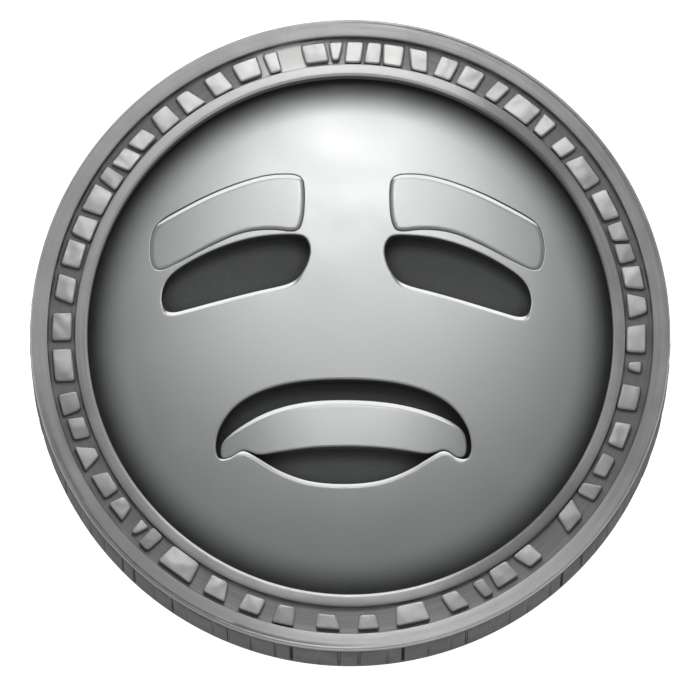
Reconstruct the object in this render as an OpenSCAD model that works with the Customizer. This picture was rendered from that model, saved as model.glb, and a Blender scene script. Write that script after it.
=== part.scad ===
// Transit token: a reeded outer ring with a channel of inlaid blocks, and a three-layer centre
// whose domed front plate has a face made of two eye openings, a mouth opening, two brows and a lip.
// The token lies on its reverse: the origin is the middle of its underside, and +Y is the face's top.

/* [Token] */
// Outer diameter
token_d = 25; // [22:0.5:30]
// Overall thickness
token_t = 4.3; // [4.2:0.1:4.6]

/* [Ring] */
// Width of the flat outer rim on each side
rim_w = 0.67; // [0.6:0.01:0.68]
// Width of the channel that holds the blocks
channel_w = 1.07; // [1.05:0.01:1.1]
// Width of the inner bead round the face
bead_w = 0.49; // [0.4:0.01:0.6]
// Depth of the channel below the rim
channel_depth = 0.42; // [0.3:0.02:0.5]
// Height that the blocks stand above the channel floor
block_h = 0.34; // [0.2:0.02:0.4]
// Number of reeding grooves round the edge
reed_count = 90; // [60:2:120]
// Depth of each reeding groove
reed_depth = 0.09; // [0.05:0.01:0.12]

/* [Centre] */
// Height of the dome from its edge to its crown
dome_h = 0.72; // [0.4:0.02:0.8]
// How far the dome's crown lies below the rim
dome_below_rim = 0.04; // [0.02:0.02:0.3]
// Height that the brows stand above the dome
brow_proud = 0.1; // [0.04:0.02:0.16]
// Depth of the lip below the dome's surface
lip_sunk = 0.08; // [0.04:0.02:0.2]
// Thickness of the dark core plate
core_t = 1.8; // [1.4:0.1:1.8]
// Thickness of the reverse plate
back_t = 1.05; // [0.7:0.05:1.1]
// Turn of the right eye about its inner end, in degrees
right_eye_droop = 2; // [0:0.5:3]

/* [Hidden] */
$fn = 128;

token_r = token_d / 2;
edge_round = 0.14;                        // rounding where the rim meets the edge
edge_step = 0.03;                         // the rim's outer wall stands this far inside the reeded band
rim_out_r = token_r - edge_step;
channel_out_r = rim_out_r - rim_w;
channel_in_r = channel_out_r - channel_w;
face_r = channel_in_r - bead_w;           // radius of the opening that shows the face plate
channel_z = token_t - channel_depth;
bead_z = token_t - 0.05;
bead_round = 0.1;
band_low = 0.46;                          // the reeded band's lower and upper edge
band_high = token_t - 0.5;
rear_recess = 0.3;                        // depth of the plain groove behind the channel
rear_bead_z = 0.04;
rear_bead_round = 0.12;

hair = 0.01;                              // assembly clearance between pressed pieces
flange_r = face_r + 0.33;                 // radius of the ring's rear bore, which takes the centre layers
flange_t = 0.22;
back_z = 0.35;                            // the reverse plate is set in by this much
core_z = back_z + back_t;
face_z = core_z + core_t;                 // seat of the face plate, and the floor seen in the openings
dome_edge_z = token_t - dome_below_rim - dome_h;
dome_steps = 20;
brow_seat_z = face_z + 0.5;
brow_gap = 0.05;                          // seam round each brow
peg_r = 0.35;
peg_gap = 0.02;
lip_peg_depth = 0.7;
relief = 0.15;                            // height of the reverse's raised middle and rings
relief_w = 0.7;
boss_r = 2.2;
inner_ring_r = 5.5;
outer_ring_r = 8.9;

// Control polygons of the face's outlines, counter-clockwise. Cutting their corners rounds them.
brow_outline = [[-7.52, 4.20], [-7.66, 3.60], [-7.62, 2.88], [-7.36, 2.54], [-6.60, 2.90], [-5.40, 3.56],
                [-4.10, 4.14], [-2.90, 4.24], [-2.04, 4.10], [-1.82, 4.34], [-1.72, 5.00], [-1.72, 5.92],
                [-1.84, 6.24], [-2.26, 6.34], [-3.30, 6.28], [-5.00, 5.72], [-6.60, 4.92], [-7.26, 4.52]];
eye_outline = [[-6.56, 2.68], [-7.10, 2.20], [-7.28, 1.50], [-7.20, 0.92], [-6.86, 0.84], [-6.20, 1.02],
               [-3.60, 1.70], [-2.30, 1.96], [-1.72, 2.22], [-1.38, 2.94], [-1.32, 3.52], [-1.46, 3.90],
               [-2.10, 3.98], [-3.60, 3.90], [-5.20, 3.40]];
mouth_half = [[-1.05, -5.92], [-2.45, -5.46], [-3.55, -4.76], [-3.95, -4.56], [-4.42, -4.92],
              [-4.90, -4.94], [-5.04, -4.40], [-4.86, -3.56], [-4.16, -2.66], [-2.90, -2.05],
              [-1.20, -1.75]];
lip_outline = [[-4.94, -4.38], [-4.95, -4.84], [-4.58, -4.88], [-4.09, -4.52], [-3.76, -4.62],
               [-3.44, -4.76], [-2.60, -4.62], [-1.20, -4.44], [0.60, -4.42], [2.00, -4.54],
               [3.06, -4.72], [3.44, -4.64], [3.81, -4.50], [4.26, -4.84], [4.60, -4.80],
               [4.68, -4.36], [4.60, -3.84], [4.20, -3.44], [3.30, -3.04], [1.90, -2.68],
               [0.20, -2.54], [-1.60, -2.60], [-3.10, -2.98], [-4.20, -3.60], [-4.80, -4.10]];
face_axis_x = -0.12;                      // the face sits a little to the left of the token's middle
mouth_shift = -0.14;                      // and the mouth a little to the left of the brows' middle
eye_pivot = [1.5, 3];
left_brow_pegs = [[-6.2, 3.95], [-3.2, 5.3]];
lip_pegs = [[-2.6, -3.7], [2.6, -3.7]];

tile_grow = 0.05;                         // how far each block's corners stand outside its row below

// The inlaid blocks, clockwise from the top of the face. Each row is the block's start and end
// in degrees at its outer end, the same at its inner end, and its inner and outer radius.
tiles = [
    [-0.5, 2.5, -1, 2, 10.8, 11.6], [3.5, 6, 3, 6, 10.8, 11.6],
    [6.5, 10.5, 7, 10.5, 10.8, 11.6], [11.5, 15, 13, 16, 10.8, 11.6],
    [18, 21.5, 17.5, 21, 10.8, 11.6], [23, 27, 22.5, 26.5, 10.8, 11.6],
    [30, 32.5, 29, 31.5, 10.8, 11.6], [34.5, 40, 33.5, 39.5, 10.8, 11.6],
    [41, 44, 41.5, 43.5, 10.8, 11.6], [47, 50, 46.5, 49.5, 10.8, 11.5],
    [52, 58, 51, 58, 10.8, 11.5], [60, 66, 59.5, 65.5, 10.9, 11.5],
    [67, 71, 67, 70, 10.9, 11.5], [72, 75, 71, 75, 10.9, 11.5],
    [76.5, 81, 76, 80, 10.9, 11.6], [83, 85.5, 81.5, 86.5, 10.9, 11.6],
    [88, 93.5, 88.5, 93.5, 10.8, 11.5], [95.5, 97.5, 96, 97, 10.9, 11.4],
    [100.5, 105, 100.5, 105.5, 10.8, 11.5], [108, 113, 108.5, 113, 10.9, 11.5],
    [115.5, 119.5, 115.5, 120, 10.9, 11.4], [121.5, 124.5, 123, 125, 10.8, 11.5],
    [128.5, 132.5, 127, 131.5, 10.8, 11.5], [139.5, 142.5, 140, 144, 10.8, 11.5],
    [145.5, 150, 146, 150, 10.8, 11.5], [151.5, 153, 152, 154, 10.9, 11.6],
    [156.5, 160, 158, 161, 10.9, 11.6], [164.5, 171, 165, 170.5, 10.9, 11.6],
    [174.5, 178.5, 175, 178, 11.1, 11.6], [182, 186.5, 183, 186.5, 11.1, 11.6],
    [191, 195, 191.5, 194.5, 11, 11.7], [198, 202, 197.5, 201.5, 11, 11.6],
    [205, 209.5, 206, 209.5, 10.9, 11.6], [212.5, 220, 213, 219.5, 10.8, 11.6],
    [223, 225, 222.5, 225, 10.8, 11.6], [227, 227.5, 226, 228, 10.9, 11.5],
    [230.5, 234.5, 231.5, 234, 10.9, 11.5], [236, 241, 236, 240, 10.9, 11.5],
    [242.5, 247.5, 244, 245.5, 10.9, 11.6], [249, 253, 248.5, 252.5, 10.9, 11.5],
    [254, 258, 254.5, 258, 10.9, 11.6], [261, 267, 260.5, 267, 10.9, 11.6],
    [269, 274, 269, 274.5, 10.9, 11.6], [277.5, 282, 276.5, 281.5, 10.9, 11.6],
    [284, 289, 284, 289, 10.9, 11.6], [290.5, 294, 290, 294.5, 10.8, 11.6],
    [295.5, 301, 296, 301, 10.8, 11.6], [302.5, 305, 302, 305, 10.8, 11.6],
    [306, 310, 307, 311, 10.8, 11.5], [311, 315, 312, 316, 10.9, 11.5],
    [318, 321.5, 317.5, 322, 10.8, 11.6], [324, 326.5, 324, 328.5, 10.8, 11.6],
    [330.5, 334, 331, 335, 10.8, 11.6], [336.5, 341.5, 337, 341.5, 10.9, 11.6],
    [343, 345.5, 343.5, 345.5, 10.8, 11.6], [350.5, 355, 351, 355.5, 10.9, 11.6],
    [356, 358.5, 356.5, 357.5, 10.9, 11.6]];

// ---- shapes ----

// One pass of corner cutting on a closed polygon; several passes make a smooth curve.
function cut_corners(p) = [for (i = [0:len(p) - 1], s = [0.25, 0.75])
    p[i] * (1 - s) + p[(i + 1) % len(p)] * s];
function smooth(p, passes = 3) = passes == 0 ? p : smooth(cut_corners(p), passes - 1);

// The closed polygon p moved outwards by d along its own normals.
function grown(p, d) = [for (i = [0:len(p) - 1])
    let (t = p[(i + 1) % len(p)] - p[(i + len(p) - 1) % len(p)]) p[i] + d * [t.y, -t.x] / norm(t)];

// A polygon mirrored in X, still counter-clockwise.
function mirrored(p) = [for (i = [len(p) - 1:-1:0]) [-p[i].x, p[i].y]];

// A closed outline from its left half, shifted sideways.
function whole(half, shift) = [for (q = concat(half, mirrored(half))) [q.x + shift, q.y]];

function turned(p, pivot, a) = [for (q = p) let (v = q - pivot)
    pivot + [v.x * cos(a) - v.y * sin(a), v.x * sin(a) + v.y * cos(a)]];

// A point on the token at a clock angle (degrees clockwise from the top) and a radius.
function at_clock(a, r) = [r * sin(a), r * cos(a)];

// Where a brow's pegs stand: side is 1 for the left brow and -1 for the right one.
function brow_pegs(side) = [for (p = left_brow_pegs) [side * p.x, p.y]];

left_brow_line = smooth(brow_outline);
left_eye_line = smooth(eye_outline);
right_eye_line = turned(mirrored(left_eye_line), eye_pivot, -right_eye_droop);
mouth_line = reversed(smooth(whole(mouth_half, mouth_shift)));
lip_line = smooth(lip_outline);

function reversed(p) = [for (i = [len(p) - 1:-1:0]) p[i]];

// Height of the dome's surface at radius r: nearly flat in the middle, rolling down at its edge.
function dome_z(r) = dome_edge_z + dome_h * pow(max(0, 1 - pow(r / face_r, 2.5)), 0.7);

// Quarter-circle points from angle a to b round a centre.
function corner(c, r, a, b, n = 4) = [for (i = [0:n]) let (t = a + (b - a) * i / n)
    c + r * [cos(t), sin(t)]];

// Everything under the dome's surface, with the surface lifted by lift.
module under_dome(base, lift = 0) {
    rotate_extrude()
        polygon(concat([[0, base], [face_r - hair, base]],
                       [for (i = [dome_steps:-1:0]) let (r = (face_r - hair) * sin(90 * i / dome_steps))
                           [r, dome_z(r) + lift]]));
}

module disc(r, z, t) {
    translate([0, 0, z])
        cylinder(r = r, h = t);
}

module prism(line, z, h) {
    translate([0, 0, z])
        linear_extrude(h)
            polygon(line);
}

// Moves a feature of the face from the face's own middle to the token's.
module on_face() {
    translate([face_axis_x, 0, 0])
        children();
}

module pegs(places, r, z, h) {
    for (p = places)
        translate([p.x, p.y, z])
            cylinder(r = r, h = h, $fn = 32);
}

// ---- pieces ----

// The ring's section: front_profile runs from the edge over the front to the bore, and rear_profile
// from the bore back over the reverse to the edge.
front_profile = concat(
    [[token_r, band_high], [token_r - 0.02, band_high + 0.06], [token_r - 0.1, band_high + 0.1],
     [rim_out_r, band_high + 0.16]],
    corner([rim_out_r - edge_round, token_t - edge_round], edge_round, 0, 90),
    [[channel_out_r + 0.06, token_t], [channel_out_r + 0.01, token_t - 0.05],
     [channel_out_r - 0.02, channel_z], [channel_in_r + 0.02, channel_z],
     [channel_in_r - 0.01, bead_z - bead_round]],
    corner([channel_in_r - 0.01 - bead_round, bead_z - bead_round], bead_round, 0, 90, 3),
    corner([face_r + bead_round, bead_z - bead_round], bead_round, 90, 180, 3));
rear_profile = concat(
    [[face_r, face_z + flange_t], [flange_r, face_z + flange_t],
     [flange_r, rear_bead_z + rear_bead_round]],
    corner([flange_r + rear_bead_round, rear_bead_z + rear_bead_round], rear_bead_round, 180, 270, 3),
    [[flange_r + 0.14, rear_bead_z], [channel_in_r + 0.1, rear_recess],
     [channel_out_r - 0.06, rear_recess], [channel_out_r + 0.06, 0]],
    corner([rim_out_r - edge_round, edge_round], edge_round, 270, 360),
    [[rim_out_r, band_low - 0.12], [token_r, band_low]]);

// Turn of each reeding groove: evenly spaced, with a small repeating unevenness.
function reed_angle(i) = 360 * (i + 0.16 * sin(i * 137)) / reed_count;

module outer_ring() {
    color([0.62, 0.63, 0.62])
        difference() {
            rotate_extrude($fn = 200)
                polygon(concat(front_profile, rear_profile));
            for (i = [0:reed_count - 1])
                rotate([0, 0, reed_angle(i)])
                    prism([[token_r + 0.05, -0.09], [token_r + 0.05, 0.09],
                           [token_r - reed_depth, 0.015], [token_r - reed_depth, -0.015]],
                          band_low - 0.06, band_high - band_low + 0.08);
        }
}

module face_plate() {
    color([0.72, 0.73, 0.73])
        difference() {
            union() {
                under_dome(face_z);
                disc(flange_r - hair, face_z, flange_t - hair);
            }
            on_face() {
                for (line = [left_eye_line, right_eye_line, mouth_line])
                    prism(line, face_z - 1, 4);
                for (line = [left_brow_line, mirrored(left_brow_line)])
                    prism(grown(line, brow_gap), brow_seat_z, 2);
                for (side = [1, -1])
                    pegs(brow_pegs(side), peg_r + peg_gap, face_z - 1, 3);
            }
        }
}

module brow(side) {
    color([0.75, 0.77, 0.77])
        union() {
            intersection() {
                on_face()
                    prism(side > 0 ? left_brow_line : mirrored(left_brow_line), brow_seat_z + hair, 2);
                under_dome(face_z, brow_proud);
            }
            on_face()
                pegs(brow_pegs(side), peg_r, face_z + 0.05, brow_seat_z - face_z);
        }
}

module lip() {
    color([0.74, 0.75, 0.75])
        union() {
            intersection() {
                on_face()
                    prism(lip_line, face_z, 2);
                under_dome(face_z, -lip_sunk);
            }
            on_face()
                pegs(lip_pegs, peg_r, face_z - lip_peg_depth + 0.05, lip_peg_depth);
        }
}

module core_plate() {
    color([0.13, 0.14, 0.14])
        difference() {
            disc(flange_r - hair, core_z, core_t);
            on_face()
                pegs(lip_pegs, peg_r + peg_gap, face_z - lip_peg_depth, 2);
        }
}

// Points of one raised ring on the reverse: out along its flat top between two sloping sides.
function relief_ring(r, w) = [[r - w / 2, back_z], [r - w / 2 + relief, back_z - relief],
    [r + w / 2 - relief, back_z - relief], [r + w / 2, back_z]];

// The reverse plate: a flat disc with a raised middle and two plain raised rings.
module reverse_plate() {
    r = flange_r - hair;
    color([0.66, 0.67, 0.67])
        rotate_extrude()
            polygon(concat([[0, back_z - relief], [boss_r, back_z - relief], [boss_r + relief, back_z]],
                           relief_ring(inner_ring_r, relief_w), relief_ring(outer_ring_r, relief_w),
                           [[r, back_z], [r, core_z], [0, core_z]]));
}

module tile(t) {
    corners = [at_clock(t[0], t[5]), at_clock(t[2], t[4]), at_clock(t[3], t[4]), at_clock(t[1], t[5])];
    prism(grown(corners, tile_grow), channel_z, block_h);
}

// The blocks whose middle is nearest to one hour of the clock.
module tiles_at(hour) {
    color([0.8, 0.81, 0.8])
        for (t = tiles)
            if (round((t[0] + t[1]) / 60 + 12) % 12 == hour % 12)
                tile(t);
}

outer_ring();
face_plate();
core_plate();
reverse_plate();
brow(1);  // left_brow
brow(-1);  // right_brow
lip();
tiles_at(1);  // tiles_1_oclock
tiles_at(2);  // tiles_2_oclock
tiles_at(3);  // tiles_3_oclock
tiles_at(4);  // tiles_4_oclock
tiles_at(5);  // tiles_5_oclock
tiles_at(6);  // tiles_6_oclock
tiles_at(7);  // tiles_7_oclock
tiles_at(8);  // tiles_8_oclock
tiles_at(9);  // tiles_9_oclock
tiles_at(10);  // tiles_10_oclock
tiles_at(11);  // tiles_11_oclock
tiles_at(12);  // tiles_12_oclock
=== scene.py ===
"""Looks of a transit token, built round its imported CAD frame. Lengths are in mm until a mesh is made."""

import math
import random
from collections import namedtuple

import bpy
import numpy as np
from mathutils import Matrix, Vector, noise
from mathutils.geometry import delaunay_2d_cdt


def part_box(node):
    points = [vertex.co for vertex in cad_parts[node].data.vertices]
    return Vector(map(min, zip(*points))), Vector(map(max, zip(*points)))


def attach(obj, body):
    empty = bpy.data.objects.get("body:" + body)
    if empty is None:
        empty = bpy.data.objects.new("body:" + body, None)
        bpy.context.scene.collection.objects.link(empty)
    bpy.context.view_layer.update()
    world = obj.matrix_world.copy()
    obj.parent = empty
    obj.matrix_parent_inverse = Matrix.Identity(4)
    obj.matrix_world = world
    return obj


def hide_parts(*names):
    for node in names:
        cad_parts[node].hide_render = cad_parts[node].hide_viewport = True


MM = 0.001
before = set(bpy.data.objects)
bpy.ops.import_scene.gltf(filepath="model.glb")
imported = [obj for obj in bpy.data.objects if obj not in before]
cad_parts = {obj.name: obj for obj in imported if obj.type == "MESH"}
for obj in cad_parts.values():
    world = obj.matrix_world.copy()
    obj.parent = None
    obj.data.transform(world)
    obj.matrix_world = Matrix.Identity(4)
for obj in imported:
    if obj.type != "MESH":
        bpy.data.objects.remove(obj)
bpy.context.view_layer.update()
rng = random.Random(7)

# ---- sizes, from the frame and in the same terms as the CAD model ----

TOKEN_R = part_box("outer_ring")[1].x / MM
TOKEN_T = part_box("outer_ring")[1].z / MM
FACE_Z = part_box("core_plate")[1].z / MM
FLANGE_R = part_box("face_plate")[1].x / MM
TILE_TOP_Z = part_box("tiles_12_oclock")[1].z / MM
CHANNEL_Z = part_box("tiles_12_oclock")[0].z / MM

REED_PROUD = 0.03
RIM_W = 0.67
CHANNEL_W = 1.07
BEAD_W = 0.49
BEAD_LOW = 0.05
DOME_LOW = 0.04
DOME_H = 0.72
DOME_FLATNESS = 2.5
DOME_SHOULDER = 0.7
BROW_SEAT_H = 0.51

RIM_OUT_R = TOKEN_R - REED_PROUD
CHANNEL_OUT_R = RIM_OUT_R - RIM_W
CHANNEL_IN_R = CHANNEL_OUT_R - CHANNEL_W
FACE_R = CHANNEL_IN_R - BEAD_W
BEAD_Z = TOKEN_T - BEAD_LOW
DOME_EDGE_Z = TOKEN_T - DOME_LOW - DOME_H
BROW_SEAT_Z = FACE_Z + BROW_SEAT_H


# ---- outlines ----

# How far the corners of a flat face may lie from its height.
FLAT = 0.004


def area(loop):
    """Signed area of a closed outline: positive when it runs counter-clockwise."""
    p = np.array(loop)
    q = np.roll(p, -1, axis=0)
    return 0.5 * float(np.sum(p[:, 0] * q[:, 1] - q[:, 0] * p[:, 1]))


def flat_loops(node, z):
    """Outlines of the flat faces of a CAD node at height z, each counter-clockwise, largest first."""
    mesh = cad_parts[node].data
    keys = [tuple(round(c / MM, 3) for c in v.co) for v in mesh.vertices]
    edges = set()
    for face in mesh.polygons:
        corners = [keys[i] for i in face.vertices]
        if max(abs(c[2] - z) for c in corners) > FLAT:
            continue
        for a, b in zip(corners, corners[1:] + corners[:1]):
            if (b, a) in edges:
                edges.remove((b, a))
            else:
                edges.add((a, b))
    after = dict(sorted(edges))
    loops = []
    while after:
        first = min(after)
        loop = [first]
        point = after.pop(first)
        while point != first:
            loop.append(point)
            point = after.pop(point)
        loop = [(x, y) for x, y, _ in loop]
        loops.append(np.array(loop if area(loop) > 0 else loop[::-1]))
    return sorted(loops, key=area, reverse=True)


def normals(loop):
    """Outward unit normals of a counter-clockwise outline."""
    t = np.roll(loop, -1, axis=0) - np.roll(loop, 1, axis=0)
    t /= np.linalg.norm(t, axis=1, keepdims=True)
    return np.stack([t[:, 1], -t[:, 0]], axis=1)


def grown(loop, d):
    """The outline moved outwards by d, which is one number or one for each point."""
    return loop + d * normals(loop)


def circle(r, n):
    a = np.linspace(0, 2 * math.pi, n, endpoint=False)
    return np.stack([r * np.cos(a), r * np.sin(a)], axis=1)


CURVE_STEPS = 4
CURVE_REACH = 0.42


def rounded(corners, radius):
    """A polygon with each corner replaced by a short curve, which leaves part of every side straight."""
    out = []
    n = len(corners)
    for i in range(n):
        a, b, c = corners[i - 1], corners[i], corners[(i + 1) % n]
        reach_in = min(radius, CURVE_REACH * np.linalg.norm(a - b))
        reach_out = min(radius, CURVE_REACH * np.linalg.norm(c - b))
        start = b + (a - b) / np.linalg.norm(a - b) * reach_in
        end = b + (c - b) / np.linalg.norm(c - b) * reach_out
        for k in range(CURVE_STEPS + 1):
            t = k / CURVE_STEPS
            out.append((1 - t) ** 2 * start + 2 * t * (1 - t) * b + t * t * end)
    return np.array(out)


def divided(loop, step):
    """The outline with points added so that none of its sides is longer than step."""
    out = []
    for a, b in zip(loop, np.roll(loop, -1, axis=0)):
        n = max(1, math.ceil(np.linalg.norm(b - a) / step))
        out += [a + (b - a) * k / n for k in range(n)]
    return np.array(out)


def evened(loop, step):
    """The outline with its points at even distances along it."""
    closed = np.vstack([loop, loop[:1]])
    along = np.concatenate([[0], np.cumsum(np.linalg.norm(np.diff(closed, axis=0), axis=1))])
    stops = np.linspace(0, along[-1], math.ceil(along[-1] / step), endpoint=False)
    return np.stack([np.interp(stops, along, closed[:, k]) for k in (0, 1)], axis=1)


def eased(values, times):
    """Values round an outline, each averaged with its neighbours a number of times."""
    for _ in range(times):
        values = (np.roll(values, 1, axis=0) + 2 * values + np.roll(values, -1, axis=0)) / 4
    return values


NORMAL_EASING = 6


def soft_normals(loop):
    """Outward normals that turn gradually round the corners of an outline."""
    n = eased(normals(loop), NORMAL_EASING)
    return n / np.linalg.norm(n, axis=1, keepdims=True)


def nearest(points, loop):
    """Distance from each point to a counter-clockwise outline, and the soft normal of the outline there."""
    best = np.full(len(points), np.inf)
    facing = np.zeros((len(points), 2))
    outward = soft_normals(loop)
    following = np.roll(outward, -1, axis=0)
    for a, b, at_a, at_b in zip(loop, np.roll(loop, -1, axis=0), outward, following):
        ab = b - a
        t = np.clip(((points - a) @ ab) / max(ab @ ab, 1e-12), 0, 1)[:, None]
        d = np.linalg.norm(points - a - t * ab, axis=1)
        closer = d < best
        best[closer] = d[closer]
        facing[closer] = (at_a + t * (at_b - at_a))[closer]
    return best, facing


def distance(points, loop):
    return nearest(points, loop)[0]


def inside(points, loop):
    x, y = points[:, 0], points[:, 1]
    odd = np.zeros(len(points), bool)
    for (ax, ay), (bx, by) in zip(loop, np.roll(loop, -1, axis=0)):
        crosses = (ay > y) != (by > y)
        if ay != by:
            odd ^= crosses & (x < (bx - ax) * (y - ay) / (by - ay) + ax)
    return odd


def between(outline, holes):
    """A test that says which points are inside the outline and outside every hole."""
    def test(points):
        good = inside(points, outline)
        for hole in holes:
            good &= ~inside(points, hole)
        return good

    return test


ROW_SHARE = 0.866


def hex_grid(low, high, step):
    """Points step apart, in rows that are staggered and a little closer together than that."""
    rows = []
    for j, y in enumerate(np.arange(low[1], high[1], step * ROW_SHARE)):
        xs = np.arange(low[0] + (j % 2) * step / 2, high[0], step)
        rows.append(np.stack([xs, np.full(len(xs), y)], axis=1))
    return np.concatenate(rows)


# ---- how an edge is finished ----

# narrow is the width of the edge's bevel, wide its width where it faces +Y, and sideways its width where it
# faces its own side (1 for +X, -1 for -X, 0 for neither). gentle and steep are its steepest slopes in
# degrees, in general and towards +Y. The bevel of a crisp edge starts with a line towards +Y, and any other
# rolls over evenly. Further than ends from the token's middle line, a wide bevel shrinks to the narrow one.
Edge = namedtuple("Edge", "narrow wide sideways side gentle steep crisp ends", defaults=(20.0,))
FADE_AT_ENDS = 0.5
CRISPNESS = 0.6


def smooth_share(value, low, high):
    u = np.clip((value - low) / (high - low), 0, 1)
    return u * u * (3 - 2 * u)


def facing_share(component):
    """From one component of a normal: 1 where it faces that way, fading to 0 as it turns aside."""
    return smooth_share(component, 0.5, 0.95)


def edge_width(edge, points, facing):
    central = 1 - smooth_share(np.abs(points[:, 0]), edge.ends, edge.ends + FADE_AT_ENDS)
    up = facing_share(facing[:, 1]) * central
    aside = facing_share(edge.side * facing[:, 0])
    return edge.narrow + (edge.wide - edge.narrow) * up + (edge.sideways - edge.narrow) * aside


def edge_drop(edge, points, facing, d):
    """How far a finished edge lies below its surface at points at distance d from the outline."""
    width = edge_width(edge, points, facing)
    t = np.clip(width - d, 0, width)
    if edge.crisp:
        up = facing_share(facing[:, 1])
        lead = np.maximum((1 - CRISPNESS * up) * width, 1e-6)
        slope = np.tan(np.radians(edge.gentle + (edge.steep - edge.gentle) * up))
        return slope * np.where(t < lead, t * t / (2 * lead), t - lead / 2)
    radius = width / math.sin(math.radians(edge.steep))
    return radius - np.sqrt(radius * radius - t * t)


# ---- meshes ----

def make_object(name, verts, faces, material, replaces, sharp_deg=40):
    mesh = bpy.data.meshes.new(name)
    mesh.from_pydata([(x * MM, y * MM, z * MM) for x, y, z in verts], [], [tuple(f) for f in faces])
    mesh.validate()
    mesh.shade_smooth()
    mesh.set_sharp_from_angle(angle=math.radians(sharp_deg))
    mesh.materials.append(material)
    piece = bpy.data.objects.new(name, mesh)
    bpy.context.scene.collection.objects.link(piece)
    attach(piece, "root")
    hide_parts(*replaces)


def triangulate(points, loops, keep):
    """Triangles over points, whose first ones are the loops in order; keep(centres) says which stay."""
    edges = []
    start = 0
    for loop in loops:
        n = len(loop)
        edges += [(start + i, start + (i + 1) % n) for i in range(n)]
        start += n
    _, _, faces, origin, _, _ = delaunay_2d_cdt([Vector(p) for p in points], edges, [], 0, 1e-5)
    order = {i: sources[0] for i, sources in enumerate(origin) if sources}
    tris = np.array([[order.get(i, -1) for i in f] for f in faces])
    tris = tris[(tris >= 0).all(axis=1)]
    return tris[keep(points[tris].mean(axis=1))]


class Solid:
    """Vertices and faces of one closed piece, gathered part by part."""

    def __init__(self):
        self.verts = []
        self.faces = []

    def add(self, points, z):
        start = len(self.verts)
        self.verts += [(x, y, h) for (x, y), h in zip(points, z)]
        return start

    def wall(self, upper, lower, n, outward):
        """Faces between two rings of n vertices, looking away from the middle of the ring if outward."""
        for i in range(n):
            j = (i + 1) % n
            face = (upper + i, lower + i, lower + j, upper + j)
            self.faces.append(face if outward else face[::-1])


# Rings of points along a bevel, in shares of its width, and how close together points may come.
RING_SHARES = (0.1, 0.3, 0.5, 0.7, 0.78, 0.86, 0.94, 1.0, 1.25)
CROWDED = 0.9
GRID_START = 1.3
GRID_GAP = 0.35
TOUCHING = 0.004


def top_points(loops, signs, edges, grid_step):
    """Points of a top: its loops first, then rings along their bevels, then a grid over the rest."""
    rings = []
    for loop, sign, edge in zip(loops, signs, edges):
        outward = normals(loop)
        width = edge_width(edge, loop, sign * soft_normals(loop))
        for share in RING_SHARES:
            ring = loop - sign * outward * (share * width)[:, None]
            rings.append(ring[distance(ring, loop) > CROWDED * share * width])
    outline = loops[0]
    grid = hex_grid(outline.min(axis=0), outline.max(axis=0), grid_step)
    for loop, sign, edge in zip(loops, signs, edges):
        d, facing = nearest(grid, loop)
        grid = grid[d > GRID_START * edge_width(edge, grid, sign * facing) + GRID_GAP * grid_step]
    extra = np.concatenate(rings + [grid])
    keep = between(outline, loops[1:])(extra)
    for loop in loops:
        keep &= distance(extra, loop) > TOUCHING
    return np.concatenate(loops + [extra[keep]])


def plateau(solid, outline, holes, surface, edges, grid_step, floor, hole_floors):
    """A piece with a curved top, finished edges at its outline and holes, and straight walls to the floor.

    edges has the Edge of the outline and then of each hole. A hole with a floor of its own is blind: it is
    closed at that height. A hole whose floor is None goes right through."""
    loops = [outline] + holes
    signs = [1.0] + [-1.0] * len(holes)
    top = top_points(loops, signs, edges, grid_step)
    drop = np.zeros(len(top))
    for loop, sign, edge in zip(loops, signs, edges):
        d, facing = nearest(top, loop)
        drop = np.maximum(drop, edge_drop(edge, top, sign * facing, d))
    start = solid.add(top, surface(top[:, 0], top[:, 1]) - drop)
    solid.faces += [tuple(start + i for i in t) for t in triangulate(top, loops, between(outline, holes))]

    heights = [floor] + [floor if own is None else own for own in hole_floors]
    below = [solid.add(loop, [height] * len(loop)) for loop, height in zip(loops, heights)]
    for k, (loop, lower) in enumerate(zip(loops, below)):
        solid.wall(start, lower, len(loop), outward=k == 0)
        start += len(loop)

    open_loops = []
    ids = []
    for loop, first, own in zip(loops, below, [None] + hole_floors):
        if own is None:
            open_loops.append(loop)
            ids += range(first, first + len(loop))
    underside = triangulate(np.concatenate(open_loops), open_loops, between(outline, open_loops[1:]))
    solid.faces += [(ids[a], ids[c], ids[b]) for a, b, c in underside]
    for hole, first, own in zip(holes, below[1:], hole_floors):
        if own is not None:
            hole_floor = triangulate(hole, [hole], between(hole, []))
            solid.faces += [tuple(first + i for i in t) for t in hole_floor]


# ---- materials ----

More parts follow.
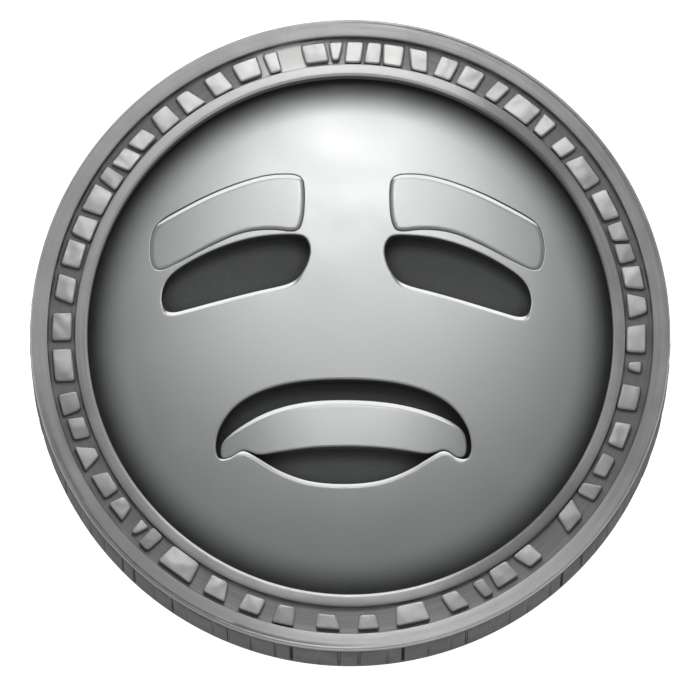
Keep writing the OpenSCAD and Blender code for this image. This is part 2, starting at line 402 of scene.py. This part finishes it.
class Nodes:
    """A small helper that adds and joins the nodes of one material."""

    def __init__(self, name):
        self.material = bpy.data.materials.new(name)
        self.material.use_nodes = True
        self.tree = self.material.node_tree
        self.bsdf = self.tree.nodes["Principled BSDF"]
        place = self.new("ShaderNodeTexCoord").outputs["Object"]
        self.mm = self.vector("SCALE", place, scale=1 / MM)

    def new(self, kind, **values):
        node = self.tree.nodes.new(kind)
        for key, value in values.items():
            setattr(node, key, value)
        return node

    def put(self, socket, value):
        if isinstance(value, bpy.types.NodeSocket):
            self.tree.links.new(value, socket)
        else:
            socket.default_value = value

    def vector(self, operation, a, b=None, scale=None):
        node = self.new("ShaderNodeVectorMath", operation=operation)
        self.put(node.inputs[0], a)
        if b is not None:
            self.put(node.inputs[1], b)
        if scale is not None:
            node.inputs["Scale"].default_value = scale
        return node.outputs["Value"] if operation in ("LENGTH", "DOT_PRODUCT") else node.outputs["Vector"]

    def math(self, operation, a, b=0.0, clamp=False):
        node = self.new("ShaderNodeMath", operation=operation, use_clamp=clamp)
        self.put(node.inputs[0], a)
        self.put(node.inputs[1], b)
        return node.outputs[0]

    def chain(self, operation, first, *others):
        """One operation done with several masks in turn. The result stays from 0 to 1."""
        for other in others:
            first = self.math(operation, first, other, clamp=True)
        return first

    def flipped(self, mask):
        return self.math("SUBTRACT", 1.0, mask)

    def noise(self, scale, detail, rough, stretch=None, place=None):
        place = place or self.mm
        if stretch is not None:
            place = self.vector("MULTIPLY", place, stretch)
        node = self.new("ShaderNodeTexNoise")
        self.put(node.inputs["Vector"], place)
        node.inputs["Scale"].default_value = scale
        node.inputs["Detail"].default_value = detail
        node.inputs["Roughness"].default_value = rough
        return node.outputs["Fac"]

    def span(self, value, low, high, out_low=0.0, out_high=1.0):
        """A value from low to high turned smoothly into one from out_low to out_high."""
        node = self.new("ShaderNodeMapRange", interpolation_type="SMOOTHSTEP")
        self.put(node.inputs["Value"], value)
        for key, number in (("From Min", low), ("From Max", high), ("To Min", out_low), ("To Max", out_high)):
            node.inputs[key].default_value = number
        return node.outputs["Result"]

    def mix(self, factor, a, b):
        node = self.new("ShaderNodeMix", data_type="RGBA")
        self.put(node.inputs["Factor"], factor)
        self.put(node.inputs["A"], a)
        self.put(node.inputs["B"], b)
        return node.outputs["Result"]

    def cavity(self, reach):
        """1 in open places and 0 deep in a corner, looked up over reach mm."""
        node = self.new("ShaderNodeAmbientOcclusion", samples=8)
        node.inputs["Distance"].default_value = reach * MM
        return node.outputs["AO"]

    def axis(self, vector, letter):
        node = self.new("ShaderNodeSeparateXYZ")
        self.put(node.inputs[0], vector)
        return node.outputs[letter]

    def flat(self):
        """The place across the token, in mm, without its height."""
        return self.vector("MULTIPLY", self.mm, (1.0, 1.0, 0.0))

    def radius(self):
        """Distance from the token's axis, in mm."""
        return self.vector("LENGTH", self.flat())

    def height(self):
        return self.axis(self.mm, "Z")

    def round_noise(self, along, across):
        """Noise drawn out round the token's axis, with scales per radian and per mm of radius."""
        angle = self.math("ARCTAN2", self.axis(self.mm, "Y"), self.axis(self.mm, "X"))
        place = self.new("ShaderNodeCombineXYZ")
        self.put(place.inputs["X"], self.math("MULTIPLY", self.math("COSINE", angle), along))
        self.put(place.inputs["Y"], self.math("MULTIPLY", self.math("SINE", angle), along))
        self.put(place.inputs["Z"], self.math("MULTIPLY", self.radius(), across))
        return self.noise(1.0, 3.0, 0.5, place=place.outputs["Vector"])

    def toward(self, angle, spread):
        """1 in one direction from the token's axis, fading to 0 by spread on either side of it.

        Both are in degrees, and the direction is counted from +X."""
        a = math.radians(angle)
        here = self.vector("NORMALIZE", self.flat())
        likeness = self.vector("DOT_PRODUCT", here, (math.cos(a), math.sin(a), 0.0))
        return self.span(likeness, math.cos(math.radians(spread)), 1.0)

    def upright(self):
        """1 on walls and 0 on surfaces that face up or down."""
        normal = self.new("ShaderNodeNewGeometry").outputs["True Normal"]
        return self.span(self.math("ABSOLUTE", self.axis(normal, "Z")), 0.3, 0.6, 1.0, 0.0)


# Brightness of flecks, turning streaks, painted highlights and painted shade, as shares of the metal's own.
FLECK = 0.6
STREAK = 0.55
PAINTED_HIGHLIGHT = 1.6
PAINTED_SHADE = 0.6
SHADED_ROUGHNESS = 0.16
BUMP_STRENGTH = 0.3
BUMP_DEPTH = 0.005
COOL = (0.985, 1.0, 1.0)
WARM = (1.0, 1.0, 0.985)


def metal(name, light, rough, mottled=0.02, shade_in_corners=0.3, reach=0.3, grain=0.5, scratched=0.04, wall=None,
          dark_mask=None, dark=0.05, painted_light_masks=None, turned=False, tint=COOL):
    """Satin metal: nearly even colour, fine grain, faint scratches, and painted shade in corners and on
    walls.

    light is its brightness, and wall and dark are those of its walls and of what dark_mask covers, both
    painted shade. shade_in_corners is the share of its brightness left in corners as painted shade, looked up
    over reach.
    painted_light_masks says where a painted highlight and painted shade go. A turned surface has streaks
    round the token's axis, and is glossier along them than across."""
    n = Nodes(name)

    def grey(v):
        return (v * tint[0], v * tint[1], v * tint[2], 1.0)

    mottle = n.noise(0.5, 4.0, 0.55)
    fine = n.noise(14.0, 3.0, 0.6)
    tone = n.mix(n.span(mottle, 0.3, 0.7), grey(light * (1 - mottled)), grey(light * (1 + mottled)))
    tone = n.mix(n.span(fine, 0.35, 0.75, 0.0, 0.06), tone, grey(light * FLECK))
    if turned:
        streaks = n.round_noise(2.5, 9.0)
        tone = n.mix(n.span(streaks, 0.35, 0.75, 0.0, 0.35), tone, grey(light * STREAK))
        n.bsdf.inputs["Anisotropic"].default_value = 0.8
        n.bsdf.inputs["Anisotropic Rotation"].default_value = 0.25
        tangent = n.new("ShaderNodeTangent", direction_type="RADIAL", axis="Z")
        n.put(n.bsdf.inputs["Tangent"], tangent.outputs["Tangent"])
    # Painted highlights and painted shade, where the masks given for them say.
    if painted_light_masks:
        highlight_patches, shade_patches = painted_light_masks(n)
        tone = n.mix(highlight_patches, tone, grey(light * PAINTED_HIGHLIGHT))
        tone = n.mix(shade_patches, tone, grey(light * PAINTED_SHADE))
    # Painted shade: darker where a point is closed in by nearby surfaces, in corners, seams and recesses.
    corner = n.span(n.cavity(reach), 0.2, 0.85, 1.0, 0.0)
    tone = n.mix(corner, tone, grey(light * shade_in_corners))
    shade = corner
    # Painted shade: walls, which face sideways, are given a darker colour.
    if wall is not None:
        walls = n.upright()
        tone = n.mix(walls, tone, grey(wall))
        shade = n.math("MAXIMUM", shade, walls)
    if dark_mask:
        mask = dark_mask(n, mottle)
        tone = n.mix(mask, tone, grey(dark))
        shade = n.math("MAXIMUM", shade, mask)
    n.put(n.bsdf.inputs["Base Color"], tone)
    n.bsdf.inputs["Metallic"].default_value = 1.0

    wear = n.span(fine, 0.3, 0.7, rough - 0.06 * grain, rough + 0.06 * grain)
    wear = n.math("ADD", wear, n.span(mottle, 0.3, 0.7, -0.01, 0.015))
    shaded = n.math("MULTIPLY", shade, SHADED_ROUGHNESS)
    n.put(n.bsdf.inputs["Roughness"], n.math("ADD", wear, shaded, clamp=True))

    across = n.noise(2.2, 2.0, 0.5, stretch=(0.35, 14.0, 3.0))
    upwards = n.noise(2.4, 2.0, 0.5, stretch=(12.0, 0.5, 3.0))
    lines = n.math("ADD", n.span(across, 0.64, 0.74), n.span(upwards, 0.65, 0.75))
    relief = n.math("ADD", n.math("MULTIPLY", fine, grain), n.math("MULTIPLY", lines, -scratched))
    bump = n.new("ShaderNodeBump")
    bump.inputs["Strength"].default_value = BUMP_STRENGTH
    bump.inputs["Distance"].default_value = BUMP_DEPTH * MM
    n.put(bump.inputs["Height"], relief)
    n.put(n.bsdf.inputs["Normal"], bump.outputs["Normal"])
    return n.material


MASK_FADE = 0.05
BORDER_W = 1.6
FULL_BORDER_W = 0.1
BAND_DARKNESS = 0.92
CHANNEL_DARKNESS = 0.38


def dome_border(n, mottle):
    """Painted shade round the edge of the dome, darkest at its border."""
    border = n.span(n.radius(), FACE_R - BORDER_W, FACE_R - FULL_BORDER_W)
    return n.chain("MULTIPLY", border, n.span(mottle, 0.2, 0.8, 0.9, 1.0))


def edge_band(n, mottle):
    """Painted shade: the reeded band and the floor of the channel are darker than the rim.

    One stretch of the floor, near the top of the token where the light falls, is left without it."""
    band = n.chain("MULTIPLY", n.span(n.radius(), RIM_OUT_R - 0.16, RIM_OUT_R - 0.12),
                   n.span(n.height(), TOKEN_T - 0.26, TOKEN_T - 0.16, 1.0, 0.0), BAND_DARKNESS)
    floor = n.chain("MULTIPLY", n.span(n.height(), CHANNEL_Z + 0.02, CHANNEL_Z + 0.12, 1.0, 0.0),
                    n.span(n.radius(), CHANNEL_IN_R - MASK_FADE, CHANNEL_IN_R),
                    n.span(n.radius(), CHANNEL_OUT_R, CHANNEL_OUT_R + MASK_FADE, 1.0, 0.0),
                    n.flipped(n.toward(101, 14)), CHANNEL_DARKNESS)
    return n.chain("MULTIPLY", n.chain("MAXIMUM", band, floor), n.span(mottle, 0.2, 0.8, 0.85, 1.0))


def ring_painted_light(n):
    """Painted highlights and painted shade on stretches of the ring's front, standing in for how the light
    falls.
    """
    bead = n.span(n.radius(), CHANNEL_IN_R, CHANNEL_IN_R + MASK_FADE, 1.0, 0.0)
    rim = n.span(n.radius(), CHANNEL_OUT_R - MASK_FADE, CHANNEL_OUT_R)
    channel = n.chain("MULTIPLY", n.flipped(bead), n.flipped(rim))
    inner_edge = n.span(n.radius(), FACE_R + 0.08, FACE_R + 0.15, 1.0, 0.0)
    # Painted highlights: the bead lighter towards +Y, where the key light is, two stretches of the rim, and
    # the channel floor at the top.
    highlight_patches = n.chain(
        "ADD",
        n.chain("MULTIPLY", bead, n.toward(112, 80), 0.72),
        n.chain("MULTIPLY", rim, n.chain("MAXIMUM", n.toward(-70, 45), n.toward(160, 45)), 0.32),
        n.chain("MULTIPLY", channel, n.toward(102, 9)))
    # A painted highlight along the bead's inner edge, towards -Y.
    highlight_patches = n.chain("MAXIMUM", highlight_patches, n.chain("MULTIPLY", inner_edge, n.toward(-95, 110)))
    # Painted shade on two stretches of the bead and one of the rim.
    shade_patches = n.chain(
        "ADD",
        n.chain("MULTIPLY", bead, n.chain("MAXIMUM", n.toward(-50, 25), n.toward(48, 20))),
        n.chain("MULTIPLY", rim, n.toward(-125, 24), 0.7))
    return highlight_patches, shade_patches


def block_painted_shade(n):
    """Painted shade on the blocks at the token's sides; none gets a painted highlight."""
    return 0.0, n.chain("MULTIPLY", n.chain("MAXIMUM", n.toward(0, 75), n.toward(180, 75)), 0.6)


face_metal = metal("satin_face", 0.62, 0.32, mottled=0.01, reach=0.12, shade_in_corners=0.5, grain=0.1, scratched=0.01,
                   wall=0.22, dark_mask=dome_border, dark=0.13)
pad_metal = metal("satin_pad", 0.61, 0.32, mottled=0.01, reach=0.05, shade_in_corners=0.7, grain=0.1, scratched=0.01)
tile_metal = metal("satin_block", 0.61, 0.34, mottled=0.06, reach=0.1, shade_in_corners=0.4, scratched=0.14,
                   painted_light_masks=block_painted_shade, tint=WARM)
ring_metal = metal("satin_ring", 0.5, 0.4, mottled=0.12, reach=0.1, shade_in_corners=0.6, scratched=0.14, wall=0.24,
                   dark_mask=edge_band, dark=0.06, painted_light_masks=ring_painted_light, turned=True, tint=WARM)
# The core plate under the openings is dark; wide painted shade from its corners darkens the floors near the
# walls.
core_metal = metal("dark_core", 0.2, 0.6, mottled=0.05, reach=0.8, shade_in_corners=0.6, grain=0.8)
back_metal = metal("satin_back", 0.6, 0.38, mottled=0.05, scratched=0.14)


# ---- the face ----

BROW_PROUD = 0.085
BROW_FALL = 0.012
BROW_INNER_X = 1.7
BROW_GAP = 0.05
LIP_SUNK = 0.08
LIP_LEAN = 0.04
LIP_MIDDLE_Y = -3.6
LIP_HALF_W = 4.6
LIP_END_FALL = 0.13
LIP_END_CURVE = 2.5
FACE_GAP = 0.01
OPENING_AREAS = (2, 100)
OUTLINE_STEP = 0.12
FACE_GRID = 0.27
PAD_GRID = 0.2
FACE_SIDES = 360

# How much each outline is larger than the CAD model's, and the eyes' own trimming.
BROW_GROWTH = 0.033
BROW_SHIFT = -0.005
LIP_GROWTH = -0.015
MOUTH_GROWTH = -0.03
EYE_TRIM = 0.08
EYE_EASING = 7

PLAIN_EDGE = Edge(0.0, 0.0, 0.0, 0, 0, 0, True)
EYE_EDGE = Edge(0.06, 0.19, 0.06, 0, 17, 28, True)
MOUTH_EDGE = Edge(0.08, 0.18, 0.08, 0, 20, 28, True, 4.1)
POCKET_EDGE = Edge(0.04, 0.04, 0.04, 0, 25, 25, True)
BROW_EDGES = {"left_brow": Edge(0.15, 0.2, 0.19, 1, 16, 26, True),
              "right_brow": Edge(0.15, 0.2, 0.19, -1, 16, 26, True)}
LIP_EDGE = Edge(0.07, 0.24, 0.07, 0, 22, 27, True)

brow_lines = {name: divided(flat_loops(name, BROW_SEAT_Z)[0], OUTLINE_STEP) for name in BROW_EDGES}
lip_line = divided(flat_loops("lip", FACE_Z)[0], OUTLINE_STEP)


def dome(x, y):
    s = np.clip(np.hypot(x, y) / FACE_R, 0, 1)
    return DOME_EDGE_Z + DOME_H * np.maximum(1 - s ** DOME_FLATNESS, 0) ** DOME_SHOULDER


def trimmed(eye):
    """An eye's opening, a little shorter at its inner end and rounder at its corners."""
    eye = eased(evened(eye, OUTLINE_STEP), EYE_EASING)
    inward = -math.copysign(1.0, eye[:, 0].mean()) * normals(eye)[:, 0]
    return grown(eye, -EYE_TRIM * smooth_share(inward, 0.2, 0.9)[:, None])


def face_openings():
    """The two eyes and the mouth, which are larger than the plate's peg holes and smaller than its rim."""
    smallest, largest = OPENING_AREAS
    loops = [loop for loop in flat_loops("face_plate", FACE_Z) if smallest < area(loop) < largest]
    *eyes, mouth = sorted(loops, key=lambda loop: loop[:, 1].mean(), reverse=True)
    eyes = [trimmed(divided(eye, OUTLINE_STEP)) for eye in eyes]
    return eyes, grown(divided(mouth, OUTLINE_STEP), MOUTH_GROWTH)


def build_face():
    solid = Solid()
    eyes, mouth = face_openings()
    pockets = [grown(line, BROW_GAP) for line in brow_lines.values()]
    edges = [PLAIN_EDGE] + [EYE_EDGE] * len(eyes) + [MOUTH_EDGE] + [POCKET_EDGE] * len(pockets)
    floors = [None] * (len(eyes) + 1) + [BROW_SEAT_Z - FACE_GAP] * len(pockets)
    plateau(solid, circle(FACE_R - FACE_GAP, FACE_SIDES), [*eyes, mouth, *pockets], dome, edges, FACE_GRID,
            FACE_Z, floors)
    make_object("face_dome", solid.verts, solid.faces, face_metal, ["face_plate"])


def brow_top(x, y):
    """A brow stands proud of the dome, and less so towards its outer end."""
    return dome(x, y) + BROW_PROUD - BROW_FALL * (np.abs(x) - BROW_INNER_X)


def lip_top(x, y):
    """The lip lies below the dome. It leans towards the brows, and its ends fall away."""
    leaning = dome(x, y) - LIP_SUNK - LIP_LEAN * (y - LIP_MIDDLE_Y)
    return leaning - LIP_END_FALL * np.abs(x / LIP_HALF_W) ** LIP_END_CURVE


def build_pad(name, outline, surface, edge, floor):
    solid = Solid()
    plateau(solid, outline, [], surface, [edge], PAD_GRID, floor, [])
    make_object(f"{name}_pad", solid.verts, solid.faces, pad_metal, [name])


# ---- the blocks in the channel ----

BLOCK_EDGE = Edge(0.07, 0.07, 0.07, 0, 70, 70, False)
BLOCK_CORNER = 0.13
BLOCK_STEP = 0.06
BLOCK_GRID = 0.07
BLOCK_SUNK = 0.02
BLOCK_LEAN = 0.028
OUTWARD_LEAN = 0.028
UPWARD_LEAN = 0.014
BLOCK_CROWN = 0.035
DENT_DEPTH = 0.009
DENT_SCALE = 2.6


def block_top(middle):
    """The uneven, slightly crowned top of one block, which leans outwards and to +Y, and a little at random.

    It is a function of x and y."""
    lean = (rng.uniform(-BLOCK_LEAN, BLOCK_LEAN), rng.uniform(-BLOCK_LEAN, BLOCK_LEAN))
    seed = rng.uniform(0, 100)

    def top(x, y):
        dents = [noise.noise(Vector((u * DENT_SCALE, v * DENT_SCALE, seed))) for u, v in zip(x, y)]
        slope = lean[0] * (x - middle[0]) + lean[1] * (y - middle[1])
        outward = OUTWARD_LEAN * (np.hypot(x, y) - np.hypot(*middle)) + UPWARD_LEAN * (y - middle[1])
        crown = BLOCK_CROWN * ((x - middle[0]) ** 2 + (y - middle[1]) ** 2)
        return TILE_TOP_Z - BLOCK_SUNK + slope - outward - crown + DENT_DEPTH * np.array(dents)

    return top


def build_tiles(node):
    solid = Solid()
    for corners in flat_loops(node, TILE_TOP_Z):
        outline = divided(rounded(corners, BLOCK_CORNER), BLOCK_STEP)
        top = block_top(corners.mean(axis=0))
        plateau(solid, outline, [], top, [BLOCK_EDGE], BLOCK_GRID, CHANNEL_Z - BLOCK_SUNK, [])
    make_object(node.replace("tiles", "blocks"), solid.verts, solid.faces, tile_metal, [node])


# ---- the outer ring ----

BAND_LOW = 0.46
BAND_HIGH = TOKEN_T - 0.5
RIM_ROUND = 0.09
CHANNEL_ROUND = 0.06
BEAD_OUT_ROUND = 0.1
BEAD_IN_ROUND = 0.13
FOOT_ROUND = 0.12
BACK_ROUND = 0.14
BACK_GROOVE_Z = 0.3
SEAT_R = FLANGE_R + 0.01
SEAT_Z = FACE_Z + 0.22

REED_COUNT = 90
REED_WANDER = 0.16
REED_TURN = 137
REED_DEPTHS = (0.04, 0.1)
REED_CRESTS = (0.0, 0.03)
# The groove between two reeds: distance round the edge from its middle, and share of its depth there.
GROOVE = ((-0.08, 0.0), (-0.05, 0.5), (-0.03, 1.0), (0.03, 1.0), (0.05, 0.5), (0.08, 0.0))
RIM_LINE_DEPTH = 0.035
RIM_LINE_TURN = 50


def arc(centre, radius, start_deg, end_deg, steps):
    a = np.radians(np.linspace(start_deg, end_deg, steps + 1))
    return [(centre[0] + radius * math.cos(t), centre[1] + radius * math.sin(t)) for t in a]


def ring_section():
    """The ring's closed section: (radius, height, share of the reeding's depth, share of the rim line's)."""
    corner = [(RIM_OUT_R, BAND_HIGH + 0.16),
              *arc((RIM_OUT_R - RIM_ROUND, TOKEN_T - RIM_ROUND), RIM_ROUND, 0, 90, 6)]
    line = [(RIM_OUT_R - 0.115, TOKEN_T, 0.0), (RIM_OUT_R - 0.14, TOKEN_T, 1.0),
            (RIM_OUT_R - 0.155, TOKEN_T, 1.0), (RIM_OUT_R - 0.18, TOKEN_T, 0.0)]
    rim = [(RIM_OUT_R - 0.3, TOKEN_T - 0.004), (CHANNEL_OUT_R + 0.25, TOKEN_T - 0.006),
           *arc((CHANNEL_OUT_R + CHANNEL_ROUND, TOKEN_T - CHANNEL_ROUND), CHANNEL_ROUND, 90, 180, 4)]
    floor_z = CHANNEL_Z + CHANNEL_ROUND
    channel = [(CHANNEL_OUT_R, CHANNEL_Z + 0.1),
               *arc((CHANNEL_OUT_R - CHANNEL_ROUND, floor_z), CHANNEL_ROUND, 0, -90, 3),
               (CHANNEL_OUT_R - 0.3, CHANNEL_Z), (CHANNEL_IN_R + 0.5, CHANNEL_Z),
               (CHANNEL_IN_R + 0.25, CHANNEL_Z),
               *arc((CHANNEL_IN_R + CHANNEL_ROUND, floor_z), CHANNEL_ROUND, -90, -180, 3)]
    bead_z = BEAD_Z - BEAD_IN_ROUND
    bead = [(CHANNEL_IN_R, BEAD_Z - 0.14),
            *arc((CHANNEL_IN_R - BEAD_OUT_ROUND, bead_z), BEAD_OUT_ROUND, 0, 90, 5),
            *arc((FACE_R + BEAD_IN_ROUND, bead_z), BEAD_IN_ROUND, 90, 180, 7), (FACE_R, BEAD_Z - 0.3)]
    bore = [(FACE_R, SEAT_Z), (SEAT_R, SEAT_Z), (SEAT_R, 0.16),
            *arc((SEAT_R + FOOT_ROUND, 0.16), FOOT_ROUND, 180, 270, 4), (FLANGE_R + 0.15, 0.04)]
    back = [(CHANNEL_IN_R + 0.1, BACK_GROOVE_Z), (CHANNEL_OUT_R - 0.06, BACK_GROOVE_Z),
            (CHANNEL_OUT_R + 0.06, 0.0),
            *arc((RIM_OUT_R - BACK_ROUND, BACK_ROUND), BACK_ROUND, -90, 0, 5)]
    reeded = [(RIM_OUT_R, BAND_LOW - 0.12, 0.0), (TOKEN_R - 0.02, BAND_LOW - 0.02, 0.3),
              (TOKEN_R, BAND_LOW + 0.03, 0.8), (TOKEN_R, BAND_LOW + 0.12, 1.0),
              (TOKEN_R, (BAND_LOW + BAND_HIGH) / 2, 1.0), (TOKEN_R, BAND_HIGH - 0.06, 1.0),
              (TOKEN_R - 0.01, BAND_HIGH, 0.7), (TOKEN_R - 0.05, BAND_HIGH + 0.06, 0.3),
              (RIM_OUT_R - 0.04, BAND_HIGH + 0.11, 0.0)]
    section = [(r, z, 0.0, 0.0) for r, z in corner] + [(r, z, 0.0, share) for r, z, share in line]
    section += [(r, z, 0.0, 0.0) for r, z in rim + channel + bead + bore + back]
    return section + [(r, z, share, 0.0) for r, z, share in reeded]


def rim_line(angle):
    """Depth of the fine line worn in the rim, which runs along two opposite stretches of it."""
    return RIM_LINE_DEPTH * max(0.0, math.cos(2 * (angle - math.radians(RIM_LINE_TURN))))


def reed_columns():
    """Angles round the edge, and how far the reeding lies below its crest at each."""
    columns = []
    pitch = 2 * math.pi / REED_COUNT
    for i in range(REED_COUNT):
        middle = pitch * (i + REED_WANDER * math.sin(math.radians(i * REED_TURN)))
        depth = rng.uniform(*REED_DEPTHS)
        crest = rng.uniform(*REED_CRESTS)
        for offset, share in GROOVE:
            columns.append((middle + offset / TOKEN_R, crest + depth * share))
        for part in (0.3, 0.5, 0.7):
            columns.append((middle + pitch * part, crest * (1 - part)))
    return sorted(columns)


def build_ring():
    section = ring_section()
    verts = []
    columns = reed_columns()
    for angle, depth in columns:
        for r, z, share, line in section:
            reach = r - depth * share
            verts.append((reach * math.cos(angle), reach * math.sin(angle), z - line * rim_line(angle)))
    n, m = len(section), len(columns)
    faces = []
    for c in range(m):
        here, following = c * n, (c + 1) % m * n
        for k in range(n):
            j = (k + 1) % n
            faces.append((following + k, following + j, here + j, here + k))
    make_object("ring_body", verts, faces, ring_metal, ["outer_ring"], sharp_deg=50)


# ---- studio ----

FLOOR_HALF_M = 3.0
FLOOR_GLOW = 1.0
SKY = 0.24
HORIZON = 0.9
HORIZON_FADE = (0.1, 0.45)
LIGHT_DISTANCE = 300.0

# Name, lean and turn in degrees, width and height in degrees, and radiance of each light.
LIGHTS = (
    ("key", 21.5, 0, (9, 20), 4.6),
    ("back_strip", 62, 0, (70, 18), 2.0),
    ("front_strip", 58, 180, (70, 18), 0.35),
    ("left_strip", 58, -80, (20, 18), 0.8),
    ("right_strip", 58, 80, (20, 18), 0.8),
)

ELEVATION = 80.3
LENS = 800.0
VIEW_WIDTH = 27.05
AIM = (-0.164, -0.087, 2.0)


def build_stage():
    floor = bpy.data.meshes.new("studio_floor")
    s = FLOOR_HALF_M
    floor.from_pydata([(-s, -s, 0), (s, -s, 0), (s, s, 0), (-s, s, 0)], [], [(0, 1, 2, 3)])
    n = Nodes("pale_floor")
    n.bsdf.inputs["Base Color"].default_value = (0.93, 0.93, 0.93, 1.0)
    n.bsdf.inputs["Roughness"].default_value = 0.9
    n.bsdf.inputs["Emission Color"].default_value = (1.0, 1.0, 1.0, 1.0)
    n.bsdf.inputs["Emission Strength"].default_value = FLOOR_GLOW
    floor.materials.append(n.material)
    obj = bpy.data.objects.new("studio_floor", floor)
    bpy.context.scene.collection.objects.link(obj)


def softbox(name, lean, turn, span, radiance):
    """An area light over the token, lean degrees from overhead towards +Y and turned sideways by turn.

    span is its width and height in degrees as the token sees them, and radiance is that of its face."""
    lamp = bpy.data.lights.new(name, "AREA")
    lamp.shape = "RECTANGLE"
    lamp.size = 2 * LIGHT_DISTANCE * math.tan(math.radians(span[0] / 2)) * MM
    lamp.size_y = 2 * LIGHT_DISTANCE * math.tan(math.radians(span[1] / 2)) * MM
    lamp.energy = radiance * math.pi * lamp.size * lamp.size_y
    a, b = math.radians(lean), math.radians(turn)
    away = Vector((math.sin(a) * math.sin(b), math.sin(a) * math.cos(b), math.cos(a)))
    obj = bpy.data.objects.new(name, lamp)
    obj.location = away * LIGHT_DISTANCE * MM
    obj.rotation_euler = away.to_track_quat("Z", "Y").to_euler()
    bpy.context.scene.collection.objects.link(obj)


def build_world():
    """A dim sky that brightens towards the horizon."""
    world = bpy.data.worlds.new("studio")
    bpy.context.scene.world = world
    world.use_nodes = True
    tree = world.node_tree
    background = tree.nodes["Background"]
    background.inputs["Color"].default_value = (0.96, 0.98, 0.98, 1.0)
    place = tree.nodes.new("ShaderNodeTexCoord").outputs["Generated"]
    split = tree.nodes.new("ShaderNodeSeparateXYZ")
    tree.links.new(place, split.inputs[0])
    fade = tree.nodes.new("ShaderNodeMapRange")
    tree.links.new(split.outputs["Z"], fade.inputs["Value"])
    fade.inputs["From Min"].default_value, fade.inputs["From Max"].default_value = HORIZON_FADE
    fade.inputs["To Min"].default_value = HORIZON
    fade.inputs["To Max"].default_value = SKY
    tree.links.new(fade.outputs["Result"], background.inputs["Strength"])


def build_camera():
    camera = bpy.data.cameras.new("camera")
    camera.lens = LENS
    camera.clip_start = 0.01
    camera.clip_end = 10.0
    reach = VIEW_WIDTH * LENS / camera.sensor_width
    e = math.radians(ELEVATION)
    away = Vector((0, -math.cos(e), math.sin(e)))
    obj = bpy.data.objects.new("camera", camera)
    obj.location = (Vector(AIM) + away * reach) * MM
    obj.rotation_euler = (-away).to_track_quat("-Z", "Y").to_euler()
    bpy.context.scene.collection.objects.link(obj)
    bpy.context.scene.camera = obj


build_face()
for brow, line in brow_lines.items():
    outline = grown(line, BROW_GROWTH) + (0.0, BROW_SHIFT)
    build_pad(brow, outline, brow_top, BROW_EDGES[brow], BROW_SEAT_Z)
build_pad("lip", grown(lip_line, LIP_GROWTH), lip_top, LIP_EDGE, FACE_Z)
for hour in range(1, 13):
    build_tiles(f"tiles_{hour}_oclock")
build_ring()
for kept, finish in (("core_plate", core_metal), ("reverse_plate", back_metal)):
    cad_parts[kept].data.materials.clear()
    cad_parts[kept].data.materials.append(finish)

build_stage()
build_world()
for light in LIGHTS:
    softbox(*light)
build_camera()
bpy.context.scene.view_settings.view_transform = "Standard"
